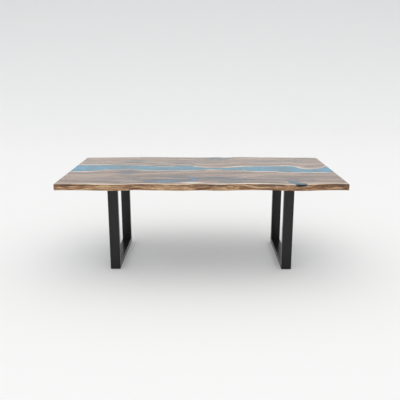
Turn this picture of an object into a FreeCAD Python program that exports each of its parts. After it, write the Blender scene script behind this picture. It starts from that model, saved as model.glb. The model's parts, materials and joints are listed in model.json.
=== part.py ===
import FreeCAD, Part
import os

import Sketcher
from FreeCAD import Placement, Rotation, Vector

# River dining table: two live-edge walnut slabs, the resin river poured between them, resin fills in the
# slabs' cracks, steel channels let into the underside, and two closed leg frames of mitred steel tube.
# Millimetres. +Z is up, +X runs along the table, -Y is the front. The origin is on the floor, under the
# middle of the top.

doc = FreeCAD.newDocument("river_table")

# Driving dimensions, each with what it measures
SIZES = {
    "table_length": (2160, "straight-cut end to straight-cut end"),
    "table_width": (1225, "over the two outer live edges at their widest"),
    "table_height": (760, "floor to top face"),
    "top_thickness": (48, "slabs and river, planed flush"),
    "edge_ease": (2, "sanded bevel round the top and bottom edges"),
    "edge_setback": (5.5, "outer live edge: top face behind the belly"),
    "edge_undercut": (4, "outer live edge: bottom face behind the belly"),
    "river_width": (185, "mean width of the river at the top face"),
    "river_centre": (8.5, "river's middle line behind the table's middle"),
    "bank_slope": (18, "run of each river bank from the top face to the bottom"),
    "fill_depth": (28, "depth of the resin fills under the top face"),
    "tube_width": (80, "leg tube, along the table"),
    "tube_depth": (40, "leg tube, in the plane of the frame"),
    "tube_wall": (3, "leg tube wall"),
    "tube_corner": (4, "leg tube outer corner radius"),
    "frame_width": (690, "leg frame, front face to rear face"),
    "frame_end_inset": (390, "middle of a leg frame from the table's end"),
    "frame_shift_along": (-5.5, "leg frames' middle from the table's middle, along the table"),
    "frame_shift_across": (-9, "leg frames' middle from the table's middle, across the table"),
    "plate_length": (166, "mounting plate, along the table"),
    "plate_width": (150, "mounting plate, across the table"),
    "plate_thickness": (6, "mounting plate"),
    "plate_corner": (8, "mounting plate corner radius"),
    "bolt_pitch_along": (120, "bolt rows either side of the tube"),
    "bolt_pitch_across": (80, "bolts in one row of a plate"),
    "bolt_bank_gap": (20, "least distance of a bolt from the river's bank"),
    "slot_width": (9, "plate slot, clear of an M8 bolt"),
    "slot_length": (22, "plate slot, across the grain"),
    "bolt_shank": (7.8, "M8 bolt shank diameter"),
    "bolt_reach": (22, "bolt length under its head"),
    "bolt_flats": (13, "hexagon head across flats"),
    "bolt_head": (5.3, "hexagon head height"),
    "washer_bore": (8.4, "washer hole diameter"),
    "washer_size": (18, "washer outside diameter"),
    "washer_thickness": (1.6, "washer"),
    "insert_bore": (8, "threaded insert, inside diameter"),
    "insert_size": (12, "threaded insert, outside diameter"),
    "insert_flange": (16, "threaded insert, flange diameter"),
    "insert_flange_height": (1.5, "threaded insert, flange"),
    "insert_length": (18, "threaded insert, overall"),
    "channel_width": (40, "steel channel over its flanges"),
    "channel_height": (20, "steel channel flange"),
    "channel_wall": (4, "steel channel web and flanges"),
    "channel_length": (940, "steel channel, across the table"),
    "channel_end_inset": (150, "outer channels' middle from the table's end"),
    "channel_slot_width": (5.6, "slot for a wood screw in the web"),
    "channel_slot_length": (16, "slot for a wood screw, across the grain"),
    "screw_outer": (420, "outer screws from the table's middle"),
    "screw_inner": (270, "inner screws from the table's middle"),
    "screw_shank": (5, "wood screw shank diameter"),
    "screw_head": (9.5, "wood screw head diameter"),
    "screw_head_height": (2.8, "wood screw pan head"),
    "screw_length": (26, "wood screw under its head"),
    "glide_size": (30, "floor glide diameter"),
    "glide_thickness": (3, "floor glide under the rail"),
    "glide_bevel": (1, "floor glide rim bevel"),
    "glide_stem": (8, "floor glide stem diameter"),
    "glide_stem_length": (9, "floor glide stem, into the rail"),
    "glide_inset": (60, "floor glide from the end of the rail"),
    "fit_gap": (0.2, "clearance round what is let in or pushed in"),
    "cut_margin": (6, "how far a cutter runs past the face that it opens"),
}

# Courses of the wavering edges: share of the table's length from its middle, then millimetres.
# A bank's millimetres run from its straight mean line, towards the rear.
REAR_BANK = [
    (-0.500, 70), (-0.398, 74), (-0.301, 68), (-0.231, 45), (-0.185, 12), (-0.153, -14), (-0.118, 12),
    (-0.083, 56), (-0.051, 52), (-0.028, 2), (0.009, -38), (0.065, -55), (0.116, -36), (0.153, -4),
    (0.222, 12), (0.287, 23), (0.361, 12), (0.376, -30), (0.387, -88), (0.410, -108), (0.444, -96),
    (0.475, -40), (0.500, 28),
]
FRONT_BANK = [
    (-0.500, -33), (-0.440, -25), (-0.400, -1), (-0.370, 39), (-0.324, 53), (-0.283, 79), (-0.250, 53),
    (-0.199, 15), (-0.130, 9), (-0.056, 11), (0.000, 33), (0.032, 63), (0.065, 51), (0.120, 23),
    (0.171, 13), (0.194, -17), (0.273, -17), (0.299, -49), (0.370, -60), (0.435, -63), (0.500, -60),
]
# An outer edge's millimetres are how far it lies inside the table's full width.
REAR_EDGE = [
    (-0.500, 44), (-0.430, 39), (-0.361, 28), (-0.273, 8), (-0.241, 3), (-0.185, 11), (-0.088, 21),
    (0.000, 27), (0.042, 22), (0.069, 15), (0.095, 35), (0.121, 26), (0.141, 12), (0.165, 5),
    (0.205, 8), (0.253, 17), (0.358, 28), (0.438, 31), (0.500, 42),
]
FRONT_EDGE = [
    (-0.500, 11), (-0.417, 13), (-0.343, 3), (-0.302, 1), (-0.270, 3), (-0.235, 20), (-0.194, 19),
    (-0.154, 12), (-0.113, 7), (-0.063, 2), (-0.006, 17), (0.066, 4), (0.109, 16), (0.163, 25),
    (0.210, 26), (0.271, 12), (0.322, 2), (0.352, 4), (0.393, 14), (0.433, 26), (0.500, 23),
]
# Mouths of the cracks and knots that are filled with resin: millimetres from the point named beside each,
# which is a share of the length from the table's middle and millimetres in from the outer edge line.
FILLS = {
    "left_streak_fill": ("front", -0.137, 116, [(-140, 2), (-60, 28), (60, 44), (132, 40), (140, -8),
                                                  (70, -38), (-40, -34), (-110, -14)]),
    "crack_fill": ("front", -0.029, 190, [(-36, -20), (-28, 46), (-2, 78), (24, 44), (34, -24), (18, -68),
                                          (-14, -74)]),
    "right_streak_fill": ("front", 0.098, 98, [(-96, -6), (-50, 18), (30, 24), (90, 26), (100, 4), (40, -22),
                                                 (-40, -24)]),
    "edge_pocket_fill": ("front", 0.330, 52, [(-70, 74), (-56, 96), (-28, 88), (6, 34), (50, -8), (66, -48),
                                                (24, -78), (-22, -56), (-58, 10)]),
    "rear_knot_fill": ("rear", 0.070, 122, [(-48, 6), (-30, 38), (20, 44), (52, 14), (40, -34), (-14, -42)]),
}
# A fill's bowl: share of its depth, then its size there against its mouth
FILL_BOWL = [(0.0, 1.0), (0.45, 0.90), (0.80, 0.68), (1.0, 0.36)]

UNDERSIDE = "(sizes.table_height - sizes.top_thickness)"
FRAME_TOP = f"({UNDERSIDE} - sizes.plate_thickness)"
UPRIGHT_LENGTH = f"({FRAME_TOP} - sizes.glide_thickness)"
# Heights of a slab's sections above its underside, lowest first, and how each lies inside the belly
SECTION_HEIGHTS = ["0", "sizes.edge_ease", "sizes.top_thickness / 2",
                   "(sizes.top_thickness - sizes.edge_ease)", "sizes.top_thickness"]
SECTION_INSETS = ["(sizes.edge_undercut + sizes.edge_ease)", "sizes.edge_undercut", "0",
                  "sizes.edge_setback", "(sizes.edge_setback + sizes.edge_ease)"]
END_INSETS = ["sizes.edge_ease", "0", "0", "0", "sizes.edge_ease"]

sheet = doc.addObject("Spreadsheet::Sheet", "sizes")
for row, (alias, (value, note)) in enumerate(SIZES.items(), start=1):
    sheet.set(f"A{row}", note)
    sheet.set(f"B{row}", str(value))
    sheet.setAlias(f"B{row}", alias)
doc.recompute()


def number(expression):
    """The value that an expression on the sheet has now."""
    found = sheet.evalExpression(expression)
    return float(getattr(found, "Value", found))


def new_body(label):
    body = doc.addObject("PartDesign::Body", label)
    body.Label = label
    return body


def place(thing, x="0", y="0", z="0", rotation=None):
    """Puts a thing where three expressions say, turned by a rotation."""
    if rotation is not None:
        thing.Placement = Placement(Vector(), rotation)
    for axis, expression in (("x", x), ("y", y), ("z", z)):
        if expression != "0":
            thing.setExpression(f"Placement.Base.{axis}", expression)
    return thing


def plane_sketch(body, role):
    """A sketch on one of the body's own origin planes."""
    sketch = body.newObject("Sketcher::SketchObject", f"{body.Label}_{role[:2].lower()}_sketch")
    plane = next(feature for feature in body.Origin.OriginFeatures if feature.Role == role)
    sketch.AttachmentSupport = [(plane, "")]
    sketch.MapMode = "FlatFace"
    return sketch


def bind_point(sketch, geometry, point, x, y):
    """Ties a sketch point to two expressions, measured from the sketch's origin."""
    for kind, axis, expression in (("DistanceX", -2, x), ("DistanceY", -1, y)):
        if expression == "0":
            sketch.addConstraint(Sketcher.Constraint("PointOnObject", geometry, point, axis))
        else:
            value = number(expression)
            index = sketch.addConstraint(Sketcher.Constraint(kind, -1, 1, geometry, point, value))
            sketch.setExpression(f"Constraints[{index}]", expression)


def add_outline(sketch, corners):
    """A closed outline of straight lines, each corner tied to a pair of expressions."""
    points = [Vector(number(x), number(y), 0) for x, y in corners]
    lines = [Part.LineSegment(points[i], points[(i + 1) % len(points)]) for i in range(len(points))]
    first = sketch.addGeometry(lines, False)[0]
    for i, (x, y) in enumerate(corners):
        following = first + (i + 1) % len(corners)
        sketch.addConstraint(Sketcher.Constraint("Coincident", first + i, 2, following, 1))
        bind_point(sketch, first + i, 1, x, y)


def add_rectangle(sketch, left, right, bottom, top):
    add_outline(sketch, [(left, bottom), (right, bottom), (right, top), (left, top)])


def add_circle(sketch, x, y, diameter):
    circle = Part.Circle(Vector(number(x), number(y), 0), Vector(0, 0, 1), number(diameter) / 2)
    geometry = sketch.addGeometry(circle, False)
    bind_point(sketch, geometry, 3, x, y)
    index = sketch.addConstraint(Sketcher.Constraint("Diameter", geometry, number(diameter)))
    sketch.setExpression(f"Constraints[{index}]", diameter)


def add_slot(sketch, x, y, width, length):
    """A round-ended slot along the sketch's Y axis, centred on x, y."""
    half_run = f"({length} - {width}) / 2"
    radius = number(width) / 2
    upper = Vector(number(x), number(f"{y} + {half_run}"), 0)
    lower = Vector(number(x), number(f"{y} - {half_run}"), 0)
    side = Vector(radius, 0, 0)
    up = Vector(0, 0, 1)
    half_turn = 3.141592653589793
    ends = [
        Part.ArcOfCircle(Part.Circle(upper, up, radius), 0, half_turn),
        Part.ArcOfCircle(Part.Circle(lower, up, radius), half_turn, 2 * half_turn),
    ]
    sides = [Part.LineSegment(upper - side, lower - side), Part.LineSegment(lower + side, upper + side)]
    top, bottom, left, right = sketch.addGeometry([*ends, *sides], False)
    for line, line_end, arc, arc_end in ((left, 1, top, 2), (left, 2, bottom, 1),
                                         (right, 1, bottom, 2), (right, 2, top, 1)):
        sketch.addConstraint(Sketcher.Constraint("Tangent", line, line_end, arc, arc_end))
    sketch.addConstraint(Sketcher.Constraint("Vertical", left))
    bind_point(sketch, top, 3, x, f"{y} + {half_run}")
    index = sketch.addConstraint(Sketcher.Constraint("DistanceY", bottom, 3, top, 3, (upper - lower).y))
    sketch.setExpression(f"Constraints[{index}]", f"{length} - {width}")
    index = sketch.addConstraint(Sketcher.Constraint("Radius", top, radius))
    sketch.setExpression(f"Constraints[{index}]", f"{width} / 2")


def pad(body, sketch, length, symmetric=False):
    feature = body.newObject("PartDesign::Pad", f"{body.Label}_pad")
    feature.Profile = sketch
    feature.setExpression("Length", length)
    feature.SideType = "Symmetric" if symmetric else "One side"
    doc.recompute()
    return feature


def pocket(body, sketch, length=None, backwards=False):
    """Cuts a sketch right through both ways, or to a length one way, and makes sure that it cut."""
    before = body.Shape.Volume
    feature = body.newObject("PartDesign::Pocket", f"{body.Label}_pocket")
    feature.Profile = sketch
    if length is None:
        feature.Type = "ThroughAll"
        feature.SideType = "Symmetric"
    else:
        feature.setExpression("Length", length)
        feature.Reversed = backwards
    doc.recompute()
    if body.Shape.Volume >= before - 1e-6:
        raise RuntimeError(f"{body.Label}: a pocket cut nothing")
    return feature


def revolve(body, sketch):
    feature = body.newObject("PartDesign::Revolution", f"{body.Label}_revolution")
    feature.Profile = sketch
    feature.ReferenceAxis = (sketch, ["V_Axis"])
    doc.recompute()
    return feature


def round_long_edges(body, base, radius):
    """Fillets the edges of a feature that run along the body's Z axis."""
    names = []
    for i, edge in enumerate(base.Shape.Edges, start=1):
        run = edge.Vertexes[-1].Point - edge.Vertexes[0].Point
        if edge.Length > 0 and abs(run.z) > 0.999 * edge.Length:
            names.append(f"Edge{i}")
    feature = body.newObject("PartDesign::Fillet", f"{body.Label}_fillet")
    feature.Base = (base, names)
    feature.setExpression("Radius", radius)
    doc.recompute()
    return feature


# The tabletop

def wavering_curve(course, end_inset, line, sign):
    """A smooth curve through a course, from the left end to the right."""
    length = number("sizes.table_length") - 2 * end_inset
    curve = Part.BSplineCurve()
    curve.interpolate([Vector(share * length, line + sign * wander, 0) for share, wander in course])
    return curve


def slack(course):
    """How far inside its line the smooth curve through an outer edge's course stays at its widest."""
    return min(point.y for point in wavering_curve(course, 0, 0, 1).discretize(2000))


def edge_lines(section):
    """The four wavering curves of the top at one section: rear edge, rear bank, front bank, front edge."""
    end_inset = number(END_INSETS[section])
    reach = number(f"sizes.table_width / 2 - {SECTION_INSETS[section]}")
    run = number(f"sizes.bank_slope * (1 - {SECTION_HEIGHTS[section]} / sizes.top_thickness)")
    rear_bank = number("sizes.river_centre + sizes.river_width / 2") - run
    front_bank = number("sizes.river_centre - sizes.river_width / 2") + run
    return (
        wavering_curve(REAR_EDGE, end_inset, reach + slack(REAR_EDGE), -1),
        wavering_curve(REAR_BANK, end_inset, rear_bank, 1),
        wavering_curve(FRONT_BANK, end_inset, front_bank, 1),
        wavering_curve(FRONT_EDGE, end_inset, -reach - slack(FRONT_EDGE), 1),
    )


def top_piece(label, rear, front):
    """A piece of the top between two of the four wavering curves, ruled from section to section."""
    sections = []
    for section, height in enumerate(SECTION_HEIGHTS):
        curves = edge_lines(section)
        sketch = doc.addObject("Sketcher::SketchObject", f"{label}_section_{section}")
        back, near = curves[rear], curves[front]
        right = Part.LineSegment(back.EndPoint, near.EndPoint)
        left = Part.LineSegment(near.StartPoint, back.StartPoint)
        sketch.addGeometry([back, right, near, left], False)
        for one, one_end, other, other_end in ((0, 2, 1, 1), (1, 2, 2, 2), (2, 1, 3, 1), (3, 2, 0, 1)):
            sketch.addConstraint(Sketcher.Constraint("Coincident", one, one_end, other, other_end))
        place(sketch, z=f"{UNDERSIDE} + {height}")
        sections.append(sketch)
    loft = doc.addObject("Part::Loft", label)
    loft.Sections = sections
    loft.Solid = True
    loft.Ruled = True
    return loft


def fill_cutter(label, side, share, inset, mouth):
    """The hollow of a crack: a closed curve at its mouth, drawn in like a bowl towards its floor."""
    sign = -1 if side == "front" else 1
    middle_x = share * number("sizes.table_length")
    middle_y = sign * number("sizes.table_width / 2") - sign * inset
    heights = [("sizes.table_height + sizes.cut_margin", FILL_BOWL[0][1])]
    heights += [(f"sizes.table_height - {depth} * sizes.fill_depth", size) for depth, size in FILL_BOWL]
    sections = []
    for step, (height, size) in enumerate(heights):
        curve = Part.BSplineCurve()
        curve.interpolate([Vector(middle_x + x * size, middle_y + y * size, 0) for x, y in mouth],
                          PeriodicFlag=True)
        sketch = doc.addObject("Sketcher::SketchObject", f"{label}_mouth_{step}")
        sketch.addGeometry(curve, False)
        sections.append(place(sketch, z=height))
    hollow = doc.addObject("Part::Loft", f"{label}_hollow")
    hollow.Sections = sections
    hollow.Solid = True
    hollow.Ruled = True
    return hollow


def common(label, base, tool):
    feature = doc.addObject("Part::MultiCommon", label)
    feature.Shapes = [base, tool]
    return feature


def cut(label, base, tools):
    """A piece less everything that is let into it."""
    cutters = doc.addObject("Part::MultiFuse", f"{label}_cutters")
    cutters.Shapes = tools
    feature = doc.addObject("Part::Cut", label)
    feature.Base = base
    feature.Tool = cutters
    return feature


# Steel channels let into the underside

CHANNEL_PLACES = {
    "left": "-(sizes.table_length / 2 - sizes.channel_end_inset)",
    "centre": "0",
    "right": "sizes.table_length / 2 - sizes.channel_end_inset",
}
SCREW_PLACES = ["-sizes.screw_outer", "-sizes.screw_inner", "sizes.screw_inner", "sizes.screw_outer"]


def channel(label, gap):
    """A steel channel, web down, or with a gap the groove that takes it."""
    body = new_body(label)
    half = f"(sizes.channel_width / 2 + {gap})"
    inner = f"(sizes.channel_width / 2 - sizes.channel_wall - {gap})"
    web = f"(sizes.channel_wall + {gap})"
    top = f"(sizes.channel_height + {gap})"
    floor = "0" if gap == "0" else "-sizes.cut_margin"
    section = plane_sketch(body, "XZ_Plane")
    add_outline(section, [(f"-{half}", floor), (half, floor), (half, top), (inner, top), (inner, web),
                          (f"-{inner}", web), (f"-{inner}", top), (f"-{half}", top)])
    pad(body, section, f"sizes.channel_length + 2 * {gap}", symmetric=True)
    return body


def slotted_channel(label):
    body = channel(label, "0")
    slots = plane_sketch(body, "XY_Plane")
    for y in SCREW_PLACES:
        add_slot(slots, "0", y, "sizes.channel_slot_width", "sizes.channel_slot_length")
    pocket(body, slots)
    return body


def round_piece(label, outline):
    """A turned piece from half of its section, beside the Z axis."""
    body = new_body(label)
    section = plane_sketch(body, "XZ_Plane")
    add_outline(section, outline)
    revolve(body, section)
    return body


def copies(label, master, places):
    """Separate solids of one turned or headed piece, at each of the places."""
    feature = doc.addObject("Part::Feature", label)
    feature.Shape = Part.Compound([master.Shape.translated(point) for point in places])
    return feature


def wood_screw():
    """Pan-head screw, its head's underside at the origin."""
    head, shank = "sizes.screw_head / 2", "sizes.screw_shank / 2"
    return round_piece("wood_screw", [
        ("0", "-sizes.screw_head_height"),
        (f"{head} - sizes.screw_head_height / 2", "-sizes.screw_head_height"),
        (head, "-sizes.screw_head_height / 2"), (head, "0"), (shank, "0"),
        (shank, f"sizes.screw_length - {shank} * 2"), ("0", "sizes.screw_length"),
    ])


# Leg frames

FRAME_SIDES = {
    "left": "sizes.frame_shift_along - (sizes.table_length / 2 - sizes.frame_end_inset)",
    "right": "sizes.frame_shift_along + (sizes.table_length / 2 - sizes.frame_end_inset)",
}
FRAME_Y = "sizes.frame_shift_across"
# A mounting plate ends with its rail, unless its bolts would then come too near the river.
BANK_REACH = f"(sizes.river_centre + sizes.river_width / 2 + {max(wander for _, wander in REAR_BANK)})"
PLATE_Y = ("max(sizes.frame_width / 2 - sizes.plate_width / 2; "
           f"{BANK_REACH} + sizes.bolt_bank_gap + sizes.bolt_pitch_across / 2 - {FRAME_Y})")
FLAT_REAR = Rotation(Vector(0, 0, 1), 180)
LYING_UP = Rotation(Vector(-1, 0, 0), Vector(0, 0, 1), Vector(0, 1, 0), "ZYX")
LYING_DOWN = Rotation(Vector(1, 0, 0), Vector(0, 0, -1), Vector(0, 1, 0), "ZYX")


def mitred_tube(label, length):
    """Rectangular tube along Z, outer side at -Y, with both ends mitred so that the inner side is shorter."""
    body = new_body(label)
    half_width, half_depth = "sizes.tube_width / 2", "sizes.tube_depth / 2"
    section = plane_sketch(body, "XY_Plane")
    add_rectangle(section, f"-{half_width}", half_width, f"-{half_depth}", half_depth)
    bar = pad(body, section, length)
    round_long_edges(body, bar, "sizes.tube_corner")
    bore = plane_sketch(body, "XY_Plane")
    bore_half_width = f"({half_width} - sizes.tube_wall)"
    bore_half_depth = f"({half_depth} - sizes.tube_wall)"
    add_rectangle(bore, f"-{bore_half_width}", bore_half_width, f"-{bore_half_depth}", bore_half_depth)
    pocket(body, bore)
    mitre = plane_sketch(body, "YZ_Plane")
    outside = f"-({half_depth} + sizes.cut_margin)"
    inside = f"({half_depth} + sizes.cut_margin)"
    over = "sizes.cut_margin"
    add_outline(mitre, [(outside, f"-{over}"), (inside, f"-{over}"), (inside, f"sizes.tube_depth + {over}")])
    add_outline(mitre, [(outside, f"{length} + {over}"), (inside, f"{length} - sizes.tube_depth - {over}"),
                        (inside, f"{length} + {over}")])
    pocket(body, mitre)
    return body


def floor_rail(label):
    """The tube that lies on the floor, with a hole in its outer wall for each glide's stem."""
    body = mitred_tube(label, "sizes.frame_width")
    holes = plane_sketch(body, "XZ_Plane")
    for height in ("sizes.glide_inset", "sizes.frame_width - sizes.glide_inset"):
        add_circle(holes, "0", height, "sizes.glide_stem + 2 * sizes.fit_gap")
    pocket(body, holes, length="sizes.tube_depth", backwards=True)
    return body


def mounting_plate(label):
    """Plate welded on the top rail, slotted across the grain on both sides of the tube."""
    body = new_body(label)
    half_length, half_width = "sizes.plate_length / 2", "sizes.plate_width / 2"
    blank = plane_sketch(body, "XY_Plane")
    add_rectangle(blank, f"-{half_length}", half_length, f"-{half_width}", half_width)
    slab = pad(body, blank, "sizes.plate_thickness")
    round_long_edges(body, slab, "sizes.plate_corner")
    slots = plane_sketch(body, "XY_Plane")
    for x in ("-sizes.bolt_pitch_along / 2", "sizes.bolt_pitch_along / 2"):
        for y in ("-sizes.bolt_pitch_across / 2", "sizes.bolt_pitch_across / 2"):
            add_slot(slots, x, y, "sizes.slot_width", "sizes.slot_length")
    pocket(body, slots)
    return body


def hexagon_bolt():
    """Hexagon bolt, its head's bearing face at the origin and its shank up."""
    body = new_body("hexagon_bolt")
    corner, flat = "sizes.bolt_flats / sqrt(3)", "sizes.bolt_flats / 2"
    head = plane_sketch(body, "XY_Plane")
    add_outline(head, [(corner, "0"), (f"{corner} / 2", flat), (f"-{corner} / 2", flat), (f"-{corner}", "0"),
                       (f"-{corner} / 2", f"-{flat}"), (f"{corner} / 2", f"-{flat}")])
    block = pad(body, head, "sizes.bolt_head")
    block.Reversed = True
    shank = plane_sketch(body, "XY_Plane")
    add_circle(shank, "0", "0", "sizes.bolt_shank")
    pad(body, shank, "sizes.bolt_reach")
    return body


def washer():
    body = new_body("washer")
    ring = plane_sketch(body, "XY_Plane")
    add_circle(ring, "0", "0", "sizes.washer_size")
    add_circle(ring, "0", "0", "sizes.washer_bore")
    pad(body, ring, "sizes.washer_thickness")
    return body


def threaded_insert():
    """Flanged insert, flange at the underside and barrel up into the wood."""
    bore, barrel, flange = "sizes.insert_bore / 2", "sizes.insert_size / 2", "sizes.insert_flange / 2"
    return round_piece("threaded_insert", [
        (bore, "0"), (flange, "0"), (flange, "sizes.insert_flange_height"),
        (barrel, "sizes.insert_flange_height"), (barrel, "sizes.insert_length"),
        (bore, "sizes.insert_length"),
    ])


def insert_hole():
    """The stepped hole that takes a threaded insert and the bolt's end."""
    gap = "sizes.fit_gap"
    barrel = f"(sizes.insert_size / 2 + {gap})"
    flange = f"(sizes.insert_flange / 2 + {gap})"
    shoulder = f"(sizes.insert_flange_height + {gap})"
    deep = "(sizes.insert_length + sizes.washer_thickness)"
    return round_piece("insert_hole", [
        ("0", "-sizes.cut_margin"), (flange, "-sizes.cut_margin"), (flange, shoulder), (barrel, shoulder),
        (barrel, deep), ("0", deep),
    ])


def pilot_hole():
    """The hole that a wood screw fills, from the groove's floor up."""
    radius = "(sizes.screw_shank / 2 + sizes.fit_gap)"
    deep = "(sizes.screw_length + sizes.fit_gap)"
    return round_piece("pilot_hole", [
        ("0", "0"), (radius, "0"), (radius, deep), ("0", deep),
    ])


def floor_glide():
    """Push-in nylon glide: a bevelled foot below the origin and a stem above it."""
    foot, stem = "sizes.glide_size / 2", "sizes.glide_stem / 2"
    return round_piece("floor_glide", [
        ("0", "-sizes.glide_thickness"), (f"{foot} - sizes.glide_bevel", "-sizes.glide_thickness"),
        (foot, "sizes.glide_bevel - sizes.glide_thickness"), (foot, "0"), (stem, "0"),
        (stem, "sizes.glide_stem_length"), ("0", "sizes.glide_stem_length"),
    ])


def bolt_points(side, ends=(-1, 1)):
    """Where the bolts of one leg frame meet the underside, for the front plate, the rear plate or both."""
    frame_x = number(FRAME_SIDES[side])
    frame_y, plate_y = number(FRAME_Y), number(PLATE_Y)
    along = number("sizes.bolt_pitch_along") / 2
    across = number("sizes.bolt_pitch_across") / 2
    underside = number(UNDERSIDE)
    return [
        Vector(frame_x + i * along, frame_y + end * plate_y + j * across, underside)
        for end in ends for i in (-1, 1) for j in (-1, 1)
    ]


def lowered(points, drop):
    return [point - Vector(0, 0, drop) for point in points]


# Assembly

pieces = []

rear_blank = top_piece("rear_blank", 0, 1)
river_blank = top_piece("river_blank", 1, 2)
front_blank = top_piece("front_blank", 2, 3)

grooves = []
for position, x in CHANNEL_PLACES.items():
    grooves.append(place(channel(f"{position}_groove", "sizes.fit_gap"), x=x, z=UNDERSIDE))
    pieces.append(place(slotted_channel(f"{position}_stiffener"), x=x, z=UNDERSIDE))

screw_points = [
    Vector(number(x), number(y), number(UNDERSIDE)) for x in CHANNEL_PLACES.values() for y in SCREW_PLACES
]
pieces.append(copies("stiffener_screws", wood_screw(), screw_points))
pilots = pilot_hole()
inserts = insert_hole()
rear_points = [point for side in FRAME_SIDES for point in bolt_points(side, ends=(1,))]
front_points = [point for side in FRAME_SIDES for point in bolt_points(side, ends=(-1,))]
rear_holes = copies("rear_insert_holes", inserts, rear_points)
front_holes = copies("front_insert_holes", inserts, front_points)
rear_pilots = copies("rear_pilot_holes", pilots, [point for point in screw_points if point.y > 0])
front_pilots = copies("front_pilot_holes", pilots, [point for point in screw_points if point.y < 0])

hollows = {"front": [], "rear": []}
blanks = {"front": front_blank, "rear": rear_blank}
for label, (side, share, inset, mouth) in FILLS.items():
    hollow = fill_cutter(label, side, share, inset, mouth)
    hollows[side].append(hollow)
    pieces.append(common(label, blanks[side], hollow))

pieces.append(cut("rear_slab", rear_blank, [*grooves, rear_holes, rear_pilots, *hollows["rear"]]))
pieces.append(cut("front_slab", front_blank, [*grooves, front_holes, front_pilots, *hollows["front"]]))
pieces.append(cut("river_resin", river_blank, grooves))

bolt, ring, insert, glide = hexagon_bolt(), washer(), threaded_insert(), floor_glide()
for side, x in FRAME_SIDES.items():
    outer_face = "(sizes.frame_width / 2 - sizes.tube_depth / 2)"
    low_tube = "sizes.glide_thickness + sizes.tube_depth / 2"
    high_tube = f"{FRAME_TOP} - sizes.tube_depth / 2"
    front_upright = mitred_tube(f"{side}_front_upright", UPRIGHT_LENGTH)
    rear_upright = mitred_tube(f"{side}_rear_upright", UPRIGHT_LENGTH)
    rail = floor_rail(f"{side}_floor_rail")
    top_rail = mitred_tube(f"{side}_top_rail", "sizes.frame_width")
    pieces += [
        place(front_upright, x, f"{FRAME_Y} - {outer_face}", "sizes.glide_thickness"),
        place(rear_upright, x, f"{FRAME_Y} + {outer_face}", "sizes.glide_thickness", FLAT_REAR),
        place(rail, x, f"{FRAME_Y} - sizes.frame_width / 2", low_tube, LYING_UP),
        place(top_rail, x, f"{FRAME_Y} - sizes.frame_width / 2", high_tube, LYING_DOWN),
    ]
    pieces.append(place(mounting_plate(f"{side}_front_plate"), x, f"{FRAME_Y} - {PLATE_Y}", FRAME_TOP))
    pieces.append(place(mounting_plate(f"{side}_rear_plate"), x, f"{FRAME_Y} + {PLATE_Y}", FRAME_TOP))
    points = bolt_points(side)
    under_washer = number("sizes.plate_thickness + sizes.washer_thickness")
    pieces.append(copies(f"{side}_inserts", insert, points))
    pieces.append(copies(f"{side}_washers", ring, lowered(points, under_washer)))
    pieces.append(copies(f"{side}_bolts", bolt, lowered(points, under_washer)))
    glide_y = number("sizes.frame_width / 2 - sizes.glide_inset")
    glide_z = number("sizes.glide_thickness")
    feet = [Vector(number(x), number(FRAME_Y) + end * glide_y, glide_z) for end in (-1, 1)]
    pieces.append(copies(f"{side}_glides", glide, feet))

doc.recompute()

for thing in doc.Objects:
    if {"Invalid", "Error"} & set(thing.State):
        raise RuntimeError(f"{thing.Label} failed: {thing.State}")
for piece in pieces:
    if piece.Shape.isNull() or not piece.Shape.isValid():
        raise RuntimeError(f"{piece.Label} has no valid shape")

os.makedirs("parts", exist_ok=True)
for piece in pieces:
    piece.Shape.exportStep(os.path.join("parts", f"{piece.Label}.step"))
    print(f"{piece.Label}: {len(piece.Shape.Solids)} solids, {piece.Shape.Volume / 1000:.1f} cm3")
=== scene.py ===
import json
import math

import bmesh
import bpy
import numpy as np
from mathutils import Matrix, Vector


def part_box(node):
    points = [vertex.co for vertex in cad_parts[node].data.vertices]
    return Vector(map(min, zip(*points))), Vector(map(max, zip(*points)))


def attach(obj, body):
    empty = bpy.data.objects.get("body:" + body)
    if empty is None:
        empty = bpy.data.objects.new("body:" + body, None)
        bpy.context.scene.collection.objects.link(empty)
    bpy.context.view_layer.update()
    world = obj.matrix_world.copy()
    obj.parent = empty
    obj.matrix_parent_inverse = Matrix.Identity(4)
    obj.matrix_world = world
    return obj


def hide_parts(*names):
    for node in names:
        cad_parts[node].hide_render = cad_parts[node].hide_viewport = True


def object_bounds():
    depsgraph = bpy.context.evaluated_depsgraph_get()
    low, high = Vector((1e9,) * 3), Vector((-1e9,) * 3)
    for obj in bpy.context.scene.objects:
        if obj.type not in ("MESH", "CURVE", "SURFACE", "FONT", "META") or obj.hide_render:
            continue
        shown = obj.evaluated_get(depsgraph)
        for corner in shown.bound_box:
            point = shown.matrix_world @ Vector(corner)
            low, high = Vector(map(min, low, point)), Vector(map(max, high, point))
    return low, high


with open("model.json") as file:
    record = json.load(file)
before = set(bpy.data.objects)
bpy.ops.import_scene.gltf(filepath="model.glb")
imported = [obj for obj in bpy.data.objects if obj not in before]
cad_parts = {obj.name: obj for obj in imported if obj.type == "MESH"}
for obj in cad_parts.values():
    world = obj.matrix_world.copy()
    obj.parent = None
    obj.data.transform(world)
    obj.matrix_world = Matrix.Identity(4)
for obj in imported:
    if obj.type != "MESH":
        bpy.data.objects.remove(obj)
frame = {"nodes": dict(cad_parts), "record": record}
cad_low, cad_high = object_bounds()

# River dining table: lacquered walnut slabs with live edges, a pale blue resin river, resin-filled
# cracks and black powder-coated leg frames. Metres, +Z up, +X along the table, -Y the front.

MM = 0.001

# Sizes read from the model
LENGTH = cad_high.x - cad_low.x
TOP_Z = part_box("river_resin")[1].z
UNDERSIDE_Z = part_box("river_resin")[0].z
MIDDLE_Z = (TOP_Z + UNDERSIDE_Z) / 2

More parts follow.
